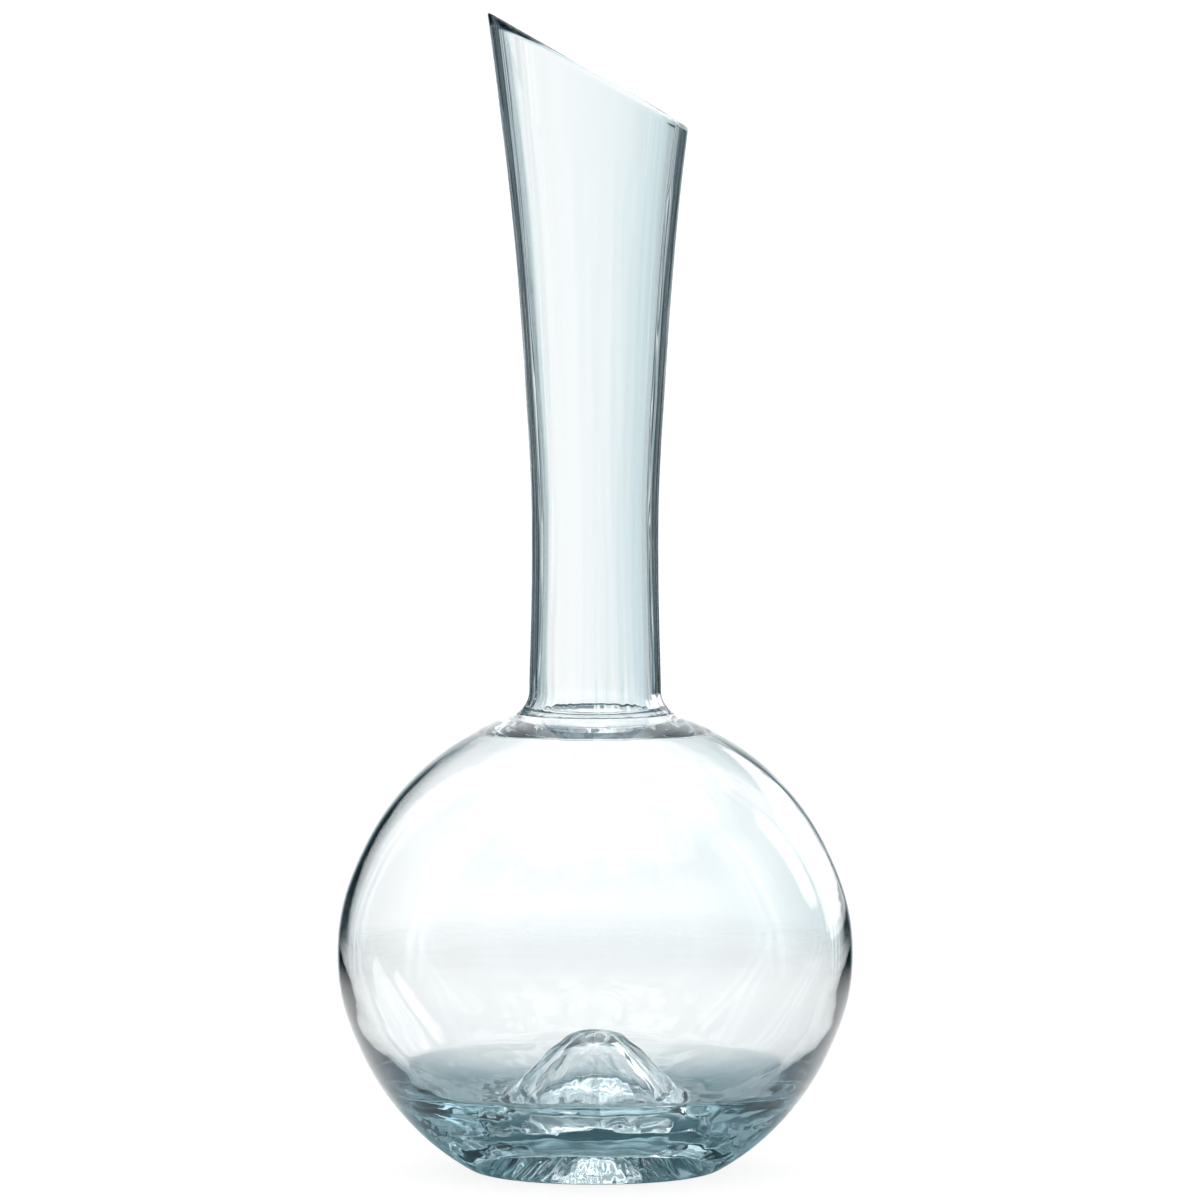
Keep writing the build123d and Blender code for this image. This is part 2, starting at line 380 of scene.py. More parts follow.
def unevenness(tree, given, share, spot, turn_x, turn_y):
    """How far each point of the inside moves along its normal, in metres."""
    swing = {"From Min": NOISE_LOW, "From Max": NOISE_HIGH, "To Min": -1.0, "To Max": 1.0}
    length = add_node(tree, "GeometryNodeCurveLength", [given["Shape"]])
    along = add_node(tree, "ShaderNodeMath", [share, length], operation="MULTIPLY")
    along = add_node(tree, "ShaderNodeMath", [along, given["Ripple Size"]], operation="DIVIDE")
    round_x = add_node(tree, "ShaderNodeMath", [turn_x, given["Ripple Turns"]], operation="MULTIPLY")
    round_y = add_node(tree, "ShaderNodeMath", [turn_y, given["Ripple Turns"]], operation="MULTIPLY")
    place = add_node(tree, "ShaderNodeCombineXYZ", [round_x, round_y, along])
    wander = add_node(
        tree,
        "ShaderNodeTexNoise",
        {"Vector": place, "W": given["Seed"], "Scale": 1.0, "Detail": 1.5},
        noise_dimensions="4D",
    )
    wander = add_node(tree, "ShaderNodeMapRange", {"Value": wander, **swing})
    rings = add_node(
        tree,
        "ShaderNodeTexNoise",
        {"W": spot["X"], "Scale": RING_SCALE, "Detail": 1.0},
        noise_dimensions="1D",
    )
    rings = add_node(tree, "ShaderNodeMapRange", {"Value": rings, **swing})
    lift = add_node(tree, "ShaderNodeMath", [wander, given["Ripple"]], operation="MULTIPLY")
    lift = add_node(tree, "ShaderNodeMath", [rings, given["Rings"], lift], operation="MULTIPLY_ADD")
    inner_end = add_node(tree, "ShaderNodeMath", [given["Inner From"], INNER_FADE], operation="ADD")
    for limits in (
        {"Value": share, "From Min": given["Inner From"], "From Max": inner_end},
        {"Value": spot["X"], "From Max": AXIS_CALM * MM},
        {
            "Value": spot["Z"],
            "From Min": given["Ripple Top"],
            "From Max": given["Ripple Fade"],
            "To Min": 1.0,
            "To Max": given["Ripple Rest"],
        },
    ):
        fade = add_node(tree, "ShaderNodeMapRange", limits, **SOFT)
        lift = add_node(tree, "ShaderNodeMath", [lift, fade], operation="MULTIPLY")
    return lift


print("rings are", round(1 / (RING_SCALE * MM), 1), "mm apart")

# %% The turning tree
MERGE = 0.002  # millimetres; closes the seam and the poles and nothing else


def turning_tree(name):
    """Takes the curve of a section and gives the closed piece that it makes when it is turned."""
    tree, given = new_tree(
        name,
        {
            "Steps Along": 420,
            "Steps Round": 224,
            "Inner From": 0.5,
            "Ripple": 0.0,
            "Ripple Size": 0.01,
            "Ripple Turns": 5.0,
            "Ripple Top": 0.022,
            "Ripple Fade": 0.032,
            "Ripple Rest": 0.06,
            "Rings": 0.0,
            "Seed": 3.0,
        },
    )
    counts = {"Vertices X": given["Steps Along"], "Vertices Y": given["Steps Round"]}
    grid = add_node(tree, "GeometryNodeMeshGrid", {"Size X": 1, "Size Y": 1, **counts})
    share = add_node(tree, "ShaderNodeSeparateXYZ", [grid.outputs["UV Map"]]).outputs
    sample = add_node(
        tree, "GeometryNodeSampleCurve", {"Curves": given["Shape"], "Factor": share["X"]}, mode="FACTOR"
    ).outputs
    spot = add_node(tree, "ShaderNodeSeparateXYZ", [sample["Position"]]).outputs
    way = add_node(tree, "ShaderNodeSeparateXYZ", [sample["Tangent"]]).outputs
    angle = add_node(tree, "ShaderNodeMath", [share["Y"], 2 * pi], operation="MULTIPLY")
    turn_x = add_node(tree, "ShaderNodeMath", [angle], operation="COSINE")
    turn_y = add_node(tree, "ShaderNodeMath", [angle], operation="SINE")
    lift = unevenness(tree, given, share["X"], spot, turn_x, turn_y)
    radius = add_node(tree, "ShaderNodeMath", [lift, way["Z"], spot["X"]], operation="MULTIPLY_ADD")
    drop = add_node(tree, "ShaderNodeMath", [lift, way["X"]], operation="MULTIPLY")
    height = add_node(tree, "ShaderNodeMath", [spot["Z"], drop], operation="SUBTRACT")
    x = add_node(tree, "ShaderNodeMath", [radius, turn_x], operation="MULTIPLY")
    y = add_node(tree, "ShaderNodeMath", [radius, turn_y], operation="MULTIPLY")
    place = add_node(tree, "ShaderNodeCombineXYZ", [x, y, height])
    moved = add_node(tree, "GeometryNodeSetPosition", {"Geometry": grid, "Position": place})
    merged = add_node(tree, "GeometryNodeMergeByDistance", {"Geometry": moved, "Distance": MERGE * MM})
    outward = add_node(tree, "GeometryNodeFlipFaces", [merged])
    smooth = add_node(tree, "GeometryNodeSetShadeSmooth", {"Geometry": outward, "Shade Smooth": True})
    finish_tree(tree, smooth)
    return tree


turning = turning_tree("turning")
print("turning tree has", len(turning.nodes), "nodes")

# %% [markdown]
# ## Running a tree
#
# The tree runs as a modifier on a carrier object, which holds the section as a curve. Its inputs are
# set by the sockets' identifiers before anything is evaluated, and the result is kept as a plain
# mesh. A plain mesh is what travels: an exporter drops instances, and a live modifier would be run
# again wherever the file is opened.

# %% Running a tree
def section_curve(name, points):
    """A section as a curve in the XZ plane, in metres."""
    data = bpy.data.curves.new(name, "CURVE")
    data.dimensions = "3D"
    spline = data.splines.new("POLY")
    spline.points.add(len(points) - 1)
    for point, (radius, height) in zip(spline.points, points):
        point.co = (radius * MM, 0, height * MM, 1)
    return data


def grown(name, data, tree, values):
    """Runs a tree on a curve or a mesh and keeps the result as a piece with a plain mesh."""
    carrier = bpy.data.objects.new(name + "_carrier", data)
    scene.collection.objects.link(carrier)
    modifier = carrier.modifiers.new(tree.name, "NODES")
    modifier.node_group = tree
    for item in tree.interface.items_tree:
        if item.name in values and item.in_out == "INPUT":
            modifier[item.identifier] = values[item.name]
    evaluated = carrier.evaluated_get(bpy.context.evaluated_depsgraph_get())
    mesh = bpy.data.meshes.new_from_object(evaluated)
    carrier.modifiers.remove(modifier)
    bpy.data.objects.remove(carrier)
    mesh.name = name
    piece = bpy.data.objects.new(name, mesh)
    scene.collection.objects.link(piece)
    triangles = sum(len(face.vertices) - 2 for face in mesh.polygons)
    print(name, "has", len(mesh.vertices), "points and", triangles, "triangles")
    return piece


# %% [markdown]
# ## The bowl
#
# The bowl is the section above, turned. Its rings rise and fall by 0.015 mm and its slower wander by
# 0.2 mm in the floor of the bowl, up to 22 mm, and by a sixteenth of that above 32 mm. The steps are
# fine enough that no facet shows where the thick glass magnifies the far side.

# %% The bowl
bowl = grown(
    "bowl_glass",
    section_curve("bowl_section", bowl_section),
    turning,
    {
        "Steps Along": 420,
        "Steps Round": 224,
        "Inner From": 0.5,
        "Ripple": 0.2 * MM,
        "Ripple Size": 8 * MM,
        "Rings": 0.015 * MM,
        "Seed": 6.0,
    },
)

# %% [markdown]
# ## The neck's flare
#
# The neck is narrowest a quarter of the way up and flares slowly, then faster, to the lip. No circle
# or straight line follows that, so it is kept as a short table of widths and a rule that runs a
# smooth cubic through them. The table has the widths that the CAD neck is drawn through, at the
# waist and twice up the flare. The wall is a little thicker at the lip than at the waist.

# %% Widths of the neck
FLARE = (
    (130.0, 19.15),
    (142.5, 19.15),
    (153.0, 18.85),
    (168.0, 18.5),
    (181.0, 18.4),
    (194.0, 18.5),
    (208.5, 19.1),
    (223.0, 20.0),
    (252.5, 21.95),
    (282.0, 24.6),
    (302.0, 26.95),
    (336.0, 31.25),
    (345.0, 32.45),
)  # height and outer radius
WAIST_HEIGHT, WAIST_WALL = 180.0, 3.4
LIP_HEIGHT, LIP_WALL = 318.2, 3.8  # the height is the one at the axis, before the lip is slanted
LIP_EDGE, LIP_SLOPE = 1.1, 30  # radius of its melted edges, and its slope in degrees


def flare(height):
    """Outer radius of the neck at a height: a cubic through the table's widths."""
    spans = list(zip(FLARE, FLARE[1:]))
    index = next((place for place, (_, high) in enumerate(spans) if height <= high[0]), len(spans) - 1)
    (low_z, low_r), (high_z, high_r) = spans[index]
    before = FLARE[max(index - 1, 0)]
    after = FLARE[min(index + 2, len(FLARE) - 1)]
    span = high_z - low_z
    low_slope = (high_r - before[1]) / (high_z - before[0]) * span
    high_slope = (after[1] - low_r) / (after[0] - low_z) * span
    t = (height - low_z) / span
    kept = low_r * (2 * t**3 - 3 * t * t + 1) + high_r * (3 * t * t - 2 * t**3)
    return kept + low_slope * (t**3 - 2 * t * t + t) + high_slope * (t**3 - t * t)


def wall(height):
    """Thickness of the neck's glass at a height."""
    root_share = min(max((height - ROOT_CENTRE[1]) / (WAIST_HEIGHT - ROOT_CENTRE[1]), 0), 1)
    lip_share = min(max((height - WAIST_HEIGHT) / (LIP_HEIGHT - WAIST_HEIGHT), 0), 1)
    return ROOT_WALL + (WAIST_WALL - ROOT_WALL) * root_share + (LIP_WALL - WAIST_WALL) * lip_share


print("neck at the waist", round(2 * flare(WAIST_HEIGHT), 1), "mm across")
print("its wall there", round(wall(WAIST_HEIGHT), 2), "mm")

# %% [markdown]
# ## The neck's section
#
# The section goes up the outside, over a lip whose edges were melted round, and down the inside. It
# is drawn with a level lip first. Its foot reaches a tenth of a millimetre into the bowl: the two
# pieces were melted together, and a hair of overlap leaves no film of air to mirror the light.

# %% Section of the neck
OVERLAP = 0.1
SIDE_STEPS = 120
neck_bottom = SEAM_HEIGHT - OVERLAP
lip_low = LIP_HEIGHT - LIP_EDGE
side_height = lip_low - ROOT_CENTRE[1]
heights = [ROOT_CENTRE[1] + side_height * step / SIDE_STEPS for step in range(SIDE_STEPS + 1)]
neck_outside = [(flare(height), height) for height in heights]
neck_inside = [(flare(height) - wall(height), height) for height in reversed(heights)]
neck_section = join(
    arc(ROOT_CENTRE, ROOT_RADIUS, root_angle(ROOT_RADIUS, neck_bottom), 180, 16),
    neck_outside,
    arc((neck_outside[-1][0] - LIP_EDGE, lip_low), LIP_EDGE, 0, 90, 8),
    [(neck_outside[-1][0] - LIP_EDGE, LIP_HEIGHT), (neck_inside[0][0] + LIP_EDGE, LIP_HEIGHT)],
    arc((neck_inside[0][0] + LIP_EDGE, lip_low), LIP_EDGE, 90, 180, 8),
    neck_inside,
    arc(ROOT_CENTRE, inner_root, 180, root_angle(inner_root, neck_bottom), 16),
)
neck_section.append(neck_section[0])
print("neck section has", len(neck_section), "points")

# %% [markdown]
# ## The slant of the lip
#
# The lip is highest on one side and lowest on the other. It could be cut with a Boolean, but that
# leaves a sharp edge that has to be melted round again, and stray slivers. Instead a second tree
# slides each point of the upright neck up or down its own flare, by more the nearer it is to the
# lip, until the lip lies on the slant. A point that rises has to move out as well, so that the
# outline stays the same flare, and that is worked out three times over, each time a little better.
# The round of the lip slides with it, so at the tip it comes out a little fuller than a true round.

# %% The flare as a curve in a tree
FLARE_LOW, FLARE_HIGH = FLARE[0][0], FLARE[-1][0]
FLARE_WIDEST = 40.0  # the radius that stands for one, because the curve only holds 0 to 1


def flare_in_tree(tree, height):
    """The neck's outer radius at a height, both in metres, from the same table of widths."""
    limits = {"From Min": FLARE_LOW * MM, "From Max": FLARE_HIGH * MM}
    share = add_node(tree, "ShaderNodeMapRange", {"Value": height, **limits})
    drawn = add_node(tree, "ShaderNodeFloatCurve", {"Value": share})
    points = drawn.mapping.curves[0].points
    places = [((z - FLARE_LOW) / (FLARE_HIGH - FLARE_LOW), r / FLARE_WIDEST) for z, r in FLARE]
    points[0].location, points[1].location = places[0], places[-1]
    for place in places[1:-1]:
        points.new(*place)
    drawn.mapping.update()
    return add_node(tree, "ShaderNodeMath", [drawn, FLARE_WIDEST * MM], operation="MULTIPLY")


# %% The slanting tree
SLIDE_ROUNDS = 3  # how many times over the slide is worked out


def slanting_tree(name):
    """Slides the points of an upright neck along its flare until the lip lies on a slant."""
    tree, given = new_tree(name, {"Slide From": 0.2, "Lip Height": 0.32, "Slope": 0.5})
    place = add_node(tree, "GeometryNodeInputPosition")
    spot = add_node(tree, "ShaderNodeSeparateXYZ", [place]).outputs
    flat = add_node(tree, "ShaderNodeCombineXYZ", {"X": spot["X"], "Y": spot["Y"]})
    radius = add_node(tree, "ShaderNodeVectorMath", [flat], operation="LENGTH").outputs["Value"]
    limits = {"From Min": given["Slide From"], "From Max": given["Lip Height"]}
    share = add_node(tree, "ShaderNodeMapRange", {"Value": spot["Z"], **limits}, **SOFT)
    slide = add_node(tree, "ShaderNodeMath", [share, given["Slope"]], operation="MULTIPLY")
    slide = add_node(tree, "ShaderNodeMath", [slide, spot["X"]], operation="MULTIPLY")
    width = flare_in_tree(tree, spot["Z"])
    wider = 1.0
    for _ in range(SLIDE_ROUNDS):
        fall = add_node(tree, "ShaderNodeMath", [slide, wider], operation="MULTIPLY")
        height = add_node(tree, "ShaderNodeMath", [spot["Z"], fall], operation="SUBTRACT")
        new_width = flare_in_tree(tree, height)
        growth = add_node(tree, "ShaderNodeMath", [new_width, width], operation="SUBTRACT")
        reach = add_node(tree, "ShaderNodeMath", [radius, growth], operation="ADD")
        wider = add_node(tree, "ShaderNodeMath", [reach, radius], operation="DIVIDE")
    x = add_node(tree, "ShaderNodeMath", [spot["X"], wider], operation="MULTIPLY")
    y = add_node(tree, "ShaderNodeMath", [spot["Y"], wider], operation="MULTIPLY")
    slid = add_node(tree, "ShaderNodeCombineXYZ", [x, y, height])
    moved = {"Geometry": given["Shape"], "Position": slid}
    finish_tree(tree, add_node(tree, "GeometryNodeSetPosition", moved))
    return tree


slanting = slanting_tree("lip_slant")
print("slanting tree has", len(slanting.nodes), "nodes")

# %% [markdown]
# ## The neck
#
# The neck is turned upright and then slanted. Its inside wanders in long slow waves, because a tube
# is drawn out while it is hot, so they run up and down it rather than round it.

# %% The neck
SLIDE_FROM = 200.0  # millimetres up; below this the neck stays upright
upright = grown(
    "neck_upright",
    section_curve("neck_section", neck_section),
    turning,
    {
        "Steps Along": 440,
        "Steps Round": 208,
        "Inner From": 0.55,
        "Ripple": 0.08 * MM,
        "Ripple Size": 60 * MM,
        "Ripple Turns": 9.0,
        "Ripple Top": 137 * MM,
        "Ripple Fade": 150 * MM,
        "Ripple Rest": 0.35,
        "Seed": 8.0,
    },
)
neck = grown(
    "neck_glass",
    upright.data,
    slanting,
    {"Slide From": SLIDE_FROM * MM, "Lip Height": LIP_HEIGHT * MM, "Slope": tan(radians(LIP_SLOPE))},
)
bpy.data.objects.remove(upright)

# %% [markdown]
# ## Standing in for the CAD solids
#
# Each glass piece replaces the CAD solid of the same name, which stays behind for collision. The
# decanter has no moving part, so there is one body, and both pieces ride on it.

# %% Ride and replace
for piece, node in ((bowl, "bowl"), (neck, "neck")):
    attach(piece, "root")
    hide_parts(node)
    print(piece.name, "stands for", node)

# %% [markdown]
# ## The floor
#
# Clear glass shows whatever is behind and under it, so the floor is part of the glass's look. A large
# floor has a horizon, and the bowl would bend that horizon into hard lines. This floor is a white
# matt disc that fades out before its rim, so there is much less of a line to bend.
#
# Two studio tricks make up for what a plain floor can't do. Where the floor is seen directly it is
# mostly clear, so that only a trace of shadow is left on it. Where it is seen through the glass, it
# has a painted blue-green shade under the bowl, standing in for the dimmer tinted light that would
# have come down through the thick base.

# %% Sizes of the floor
FLOOR_SIDES = 96
FLOOR_RADIUS = 0.6
FADE_FROM, FADE_TO = 0.35, 0.98  # shares of the floor's radius
UNDER_RADIUS = 0.11  # the floor's painted shade reaches out to here, and is full within a quarter of it
UNDER_FULL = 0.25
OPEN_CLEAR = 0.75  # how much of the floor is left out where no glass is in the way
# Painted shade: the floor seen through the glass is painted blue-green under the bowl.
FLOOR_COLOUR, PAINTED_SHADE_UNDER_BOWL = "#FFFFFF", "#7DB0BC"
FLOOR_DROP, SHADE_DROP = 0.2 * MM, 0.1 * MM  # below the foot, so that no two faces lie in one plane
print("floor", round(2 * FLOOR_RADIUS, 2), "m across")

# %% [markdown]
# ## Painted light and shade under the base
#
# Thick glass gathers light under itself in bright rings and patches, called caustics. They could be
# traced, but that is slow and leaves white specks. Here a small disc under the hollow gives off
# painted light instead, in rings round the axis that are broken into patches by a second noise. The
# disc's own colour is a painted blue-grey shade, for the shadow under the hollow.

# %% Painted gathered light
SHADE_RADIUS = 30.5 * MM
# The small disc is painted shade in a blue-grey colour, and its glow is painted caustic light.
PAINTED_SHADE_DISC_COLOUR = "#A9C6CE"
PAINTED_CAUSTIC_GLOW = 0.9
GLOW_RINGS, GLOW_PATCHES = 260.0, 90.0  # rings and patches for each metre
GLOW_DARK = 0.1  # the light between the rings, as a share of the light on them
GLOW_FROM, GLOW_FULL = 0.2, 0.36  # the part of the two noises, multiplied, that the light grows over


def gathered_light(tree, place, distance, colour, glow):
    """Painted caustic light: a glow in broken rings round the axis."""
    rings = add_node(
        tree,
        "ShaderNodeTexNoise",
        {"W": distance, "Scale": GLOW_RINGS, "Detail": 2.0},
        noise_dimensions="1D",
    )
    spots = {"Vector": place, "Scale": GLOW_PATCHES, "Detail": 2.0}
    patches = add_node(tree, "ShaderNodeTexNoise", spots)
    power = add_node(tree, "ShaderNodeMath", [rings, patches], operation="MULTIPLY")
    limits = {"From Min": GLOW_FROM, "From Max": GLOW_FULL, "To Min": GLOW_DARK * glow, "To Max": glow}
    power = add_node(tree, "ShaderNodeMapRange", {"Value": power, **limits})
    return add_node(tree, "ShaderNodeEmission", {"Color": linear(colour), "Strength": power})


print("rings of light about", round(1 / (GLOW_RINGS * MM), 1), "mm apart")

# %% Matt paint with painted shade and glow, that turns clear
def matt_paint(name, colour, painted_shade_colour, fade_from, fade_to, glow):
    """A matt sheet's paint with a painted shade under the bowl, and painted caustic light if it glows,
    that turns clear between two distances.
    """
    material = bpy.data.materials.new(name)
    material.use_nodes = True
    tree = material.node_tree
    tree.nodes.clear()
    place = add_node(tree, "ShaderNodeTexCoord").outputs["Object"]
    paths = add_node(tree, "ShaderNodeLightPath").outputs
    distance = add_node(tree, "ShaderNodeVectorMath", [place], operation="LENGTH").outputs["Value"]
    limits = {"From Min": UNDER_RADIUS * UNDER_FULL, "From Max": UNDER_RADIUS}
    limits = {**limits, "To Min": 1.0, "To Max": 0.0}
    under = add_node(tree, "ShaderNodeMapRange", {"Value": distance, **limits}, **SOFT)
    indirect = add_node(tree, "ShaderNodeMath", [1.0, paths["Is Camera Ray"]], operation="SUBTRACT")
    under = add_node(tree, "ShaderNodeMath", [under, indirect], operation="MULTIPLY")
    # The tint is painted shade: blue-green under the bowl, for every ray that isn't straight from the
    # camera.
    colours = {0: under, 6: linear(colour), 7: linear(painted_shade_colour)}
    painted_shade_tint = add_node(tree, "ShaderNodeMix", colours, data_type="RGBA")
    limits = {"From Min": fade_from, "From Max": fade_to}
    gone = add_node(tree, "ShaderNodeMapRange", {"Value": distance, **limits}, **SOFT)
    in_the_open = [paths["Is Camera Ray"], OPEN_CLEAR]
    in_the_open = add_node(tree, "ShaderNodeMath", in_the_open, operation="MULTIPLY")
    gone = add_node(tree, "ShaderNodeMath", [gone, in_the_open], operation="MAXIMUM")
    paint = add_node(tree, "ShaderNodeBsdfDiffuse", {"Color": painted_shade_tint.outputs[2]})
    # The glow is painted light, standing in for the caustics under the base.
    if glow:
        gathered = gathered_light(tree, place, distance, colour, glow)
        paint = add_node(tree, "ShaderNodeAddShader", [paint, gathered])
    clear = add_node(tree, "ShaderNodeBsdfTransparent")
    both = add_node(tree, "ShaderNodeMixShader", [gone, paint, clear])
    add_node(tree, "ShaderNodeOutputMaterial", {"Surface": both})
    return material


# %% Floor
def disc(name, radius, drop, paint):
    """A round sheet on the ground."""
    angles = [360 * side / FLOOR_SIDES for side in range(FLOOR_SIDES)]
    ring = [(*on_circle((0, 0), radius, angle), -drop) for angle in angles]
    mesh = bpy.data.meshes.new(name)
    mesh.from_pydata(ring, [], [range(FLOOR_SIDES)])
    mesh.materials.append(paint)
    sheet = bpy.data.objects.new(name, mesh)
    scene.collection.objects.link(sheet)
    return sheet


fades = (FADE_FROM * FLOOR_RADIUS, FADE_TO * FLOOR_RADIUS)
floor_paint = matt_paint("floor_matt_paint", FLOOR_COLOUR, PAINTED_SHADE_UNDER_BOWL, *fades, glow=0.0)
floor = disc("floor", FLOOR_RADIUS, FLOOR_DROP, floor_paint)
never = (1.0, 2.0)  # metres; past the small disc's rim, so that it doesn't fade
shade_colours = (PAINTED_SHADE_DISC_COLOUR, PAINTED_SHADE_DISC_COLOUR)  # the same whichever way it is seen
# The small disc under the hollow: painted shade with a painted glow of caustic light.
painted_shade_and_glow_paint = matt_paint("floor_painted_shade_and_glow", *shade_colours, *never, glow=PAINTED_CAUSTIC_GLOW)
shade = disc("floor_painted_shade_disc", SHADE_RADIUS, SHADE_DROP, painted_shade_and_glow_paint)
for sheet in (floor, shade):
    print(sheet.name, "is only part of the stage")

# %% [markdown]
# ## The room
#
# A glass in an evenly white room nearly vanishes: its edges are only seen because they mirror or
# bend in something darker. The usual studio answer is a bright sheet behind the glass and dark
# boards and tall lamps at the sides. Modelling all of those would be slow and noisy to render, so
# here the room is a pattern of direction: azimuth round the decanter and elevation above the floor.
#
# The room has two sides to it, which no real room has. Light that only passes through the glass
# comes from a bright sheet all round, under a dimmer ceiling. Light that the glass has mirrored comes
# from boards and lamps: tall soft stripes of light with dark between them, two windows, and more
# light from high up. The light path node tells which of the two a ray of light belongs to.

# %% Directions in the room
world = bpy.data.worlds.new("studio")
scene.world = world
world.use_nodes = True
room = world.node_tree
room.nodes.clear()
direction = add_node(room, "ShaderNodeTexCoord").outputs["Generated"]
parts = add_node(room, "ShaderNodeSeparateXYZ", [direction]).outputs
azimuth = add_node(room, "ShaderNodeMath", [parts["X"], parts["Y"]], operation="ARCTAN2")
elevation = add_node(room, "ShaderNodeMath", [parts["Z"]], operation="ARCSINE")
print("azimuth is 0 towards +Y and grows towards +X")

# %% Stripes of light at the sides
STRIPES = 8.0  # tall lamps round the whole room
STRIPE_POWER, STRIPE_SHARPNESS, BOARD_POWER = 0.85, 1.6, 0.04
LAMP_CHANGES = 14.0  # how often the lamps change in brightness, for each radian
DIM_LAMP, BRIGHT_LAMP = 0.3, 1.4
LAMP_NOISE = {"From Min": 0.35, "From Max": 0.65, "To Min": DIM_LAMP, "To Max": BRIGHT_LAMP}
CALM_FROM, CALM_TO = 100, 150  # between these degrees the stripes melt into one soft light
CALM_POWER = 0.3
stripes = add_node(room, "ShaderNodeMath", [azimuth, STRIPES], operation="MULTIPLY")
stripes = add_node(room, "ShaderNodeMath", [stripes], operation="COSINE")
# The cosine's range of minus one to one becomes nought to one.
stripes = add_node(room, "ShaderNodeMath", [stripes, 0.5, 0.5], operation="MULTIPLY_ADD")
stripes = add_node(room, "ShaderNodeMath", [stripes, STRIPE_SHARPNESS], operation="POWER")
lamps = {"W": azimuth, "Scale": LAMP_CHANGES, "Detail": 2.0}
uneven = add_node(room, "ShaderNodeTexNoise", lamps, noise_dimensions="1D")
uneven = add_node(room, "ShaderNodeMapRange", {"Value": uneven, **LAMP_NOISE}, **SOFT)
side_on = add_node(room, "ShaderNodeMath", [azimuth], operation="ABSOLUTE")
behind = {"From Min": radians(CALM_FROM), "From Max": radians(CALM_TO)}
calm = add_node(room, "ShaderNodeMapRange", {"Value": side_on, **behind}, **SOFT)
mirrored = add_node(room, "ShaderNodeMath", [stripes, uneven], operation="MULTIPLY")
mirrored = add_node(room, "ShaderNodeMix", {"Factor": calm, "A": mirrored, "B": CALM_POWER})
powers = [mirrored, STRIPE_POWER, BOARD_POWER]
mirrored = add_node(room, "ShaderNodeMath", powers, operation="MULTIPLY_ADD")
print("stripes", 360 / STRIPES, "degrees apart")

# %% Light from high up
HIGH_LIGHT = ((8, 35, 0.6), (40, 60, 1.4))  # from and to in degrees up, and the light it adds
for low, high, power in HIGH_LIGHT:
    limits = {"From Min": radians(low), "From Max": radians(high), "To Max": power}
    sky = add_node(room, "ShaderNodeMapRange", {"Value": elevation, **limits}, **SOFT)
    mirrored = add_node(room, "ShaderNodeMath", [mirrored, sky], operation="ADD")
    print("from", low, "to", high, "degrees up, light grows by", power)

# %% Two windows
# Degrees: azimuth and elevation of the middle, half width and half height, and softness of the edge.
# The last number is the power.
WINDOWS = ((58, 22, 1.5, 9, 5.0, 3.5), (34, 12, 15, 12.6, 1.5, 1.3))
for middle_az, middle_el, half_az, half_el, soft, power in WINDOWS:
    window = power
    for angle, middle, half in ((azimuth, middle_az, half_az), (elevation, middle_el, half_el)):
        off = add_node(room, "ShaderNodeMath", [angle, radians(middle)], operation="SUBTRACT")
        off = add_node(room, "ShaderNodeMath", [off], operation="ABSOLUTE")
        limits = {"From Min": radians(half), "From Max": radians(half + soft)}
        limits = {**limits, "To Min": 1.0, "To Max": 0.0}
        edge = add_node(room, "ShaderNodeMapRange", {"Value": off, **limits}, **SOFT)
        window = add_node(room, "ShaderNodeMath", [edge, window], operation="MULTIPLY")
    mirrored = add_node(room, "ShaderNodeMath", [mirrored, window], operation="ADD")
    print("window at", middle_az, "degrees round and", middle_el, "up")

# %% [markdown]
# ## The sheet and the ceiling
#
# The sheet is what is seen through the glass. It swells a little in brightness round the room, so
# that clear glass isn't one flat tone. Over it hangs a dimmer ceiling with gaps in it. The bowl's
# heavy base bends the view upwards, so it is the ceiling that darkens the base, and the gaps that
# make its bright streaks.

# %% The bright sheet
SHEET, SWELL = 1.14, 0.07  # brightness, and its swell
SWELL_TURN = 7  # degrees that the swell is turned by
swell = add_node(room, "ShaderNodeMath", [azimuth, radians(SWELL_TURN)], operation="ADD")
swell = add_node(room, "ShaderNodeMath", [swell, STRIPES], operation="MULTIPLY")
swell = add_node(room, "ShaderNodeMath", [swell], operation="COSINE")
passing = add_node(room, "ShaderNodeMath", [swell, SWELL, SHEET], operation="MULTIPLY_ADD")
print("the sheet's brightness runs from", round(SHEET - SWELL, 2), "to", round(SHEET + SWELL, 2))

# %% The ceiling over the sheet
CEILING_FROM, CEILING_FULL = 26, 48  # degrees up
CEILING_LOSS = 0.5  # the share of the light that is lost there
GAP_SCALE = 6.0  # gaps in the ceiling for each metre at a metre from the decanter
GAP_LIGHT = -0.6  # below zero, so that a gap is brighter than the sheet
GAP_EDGE = {"From Min": 0.49, "From Max": 0.54, "To Min": 1.0, "To Max": GAP_LIGHT}
clouds = {"Vector": direction, "Scale": GAP_SCALE, "Detail": 2.0}
gaps = add_node(room, "ShaderNodeTexNoise", clouds)
gaps = add_node(room, "ShaderNodeMapRange", {"Value": gaps, **GAP_EDGE}, **SOFT)
limits = {"From Min": radians(CEILING_FROM), "From Max": radians(CEILING_FULL)}
ceiling = add_node(room, "ShaderNodeMapRange", {"Value": elevation, **limits}, **SOFT)
ceiling = add_node(room, "ShaderNodeMath", [ceiling, gaps], operation="MULTIPLY")
kept = add_node(room, "ShaderNodeMath", [ceiling, -CEILING_LOSS, 1.0], operation="MULTIPLY_ADD")
passing = add_node(room, "ShaderNodeMath", [passing, kept], operation="MULTIPLY")
print("the ceiling starts", CEILING_FROM, "degrees up")

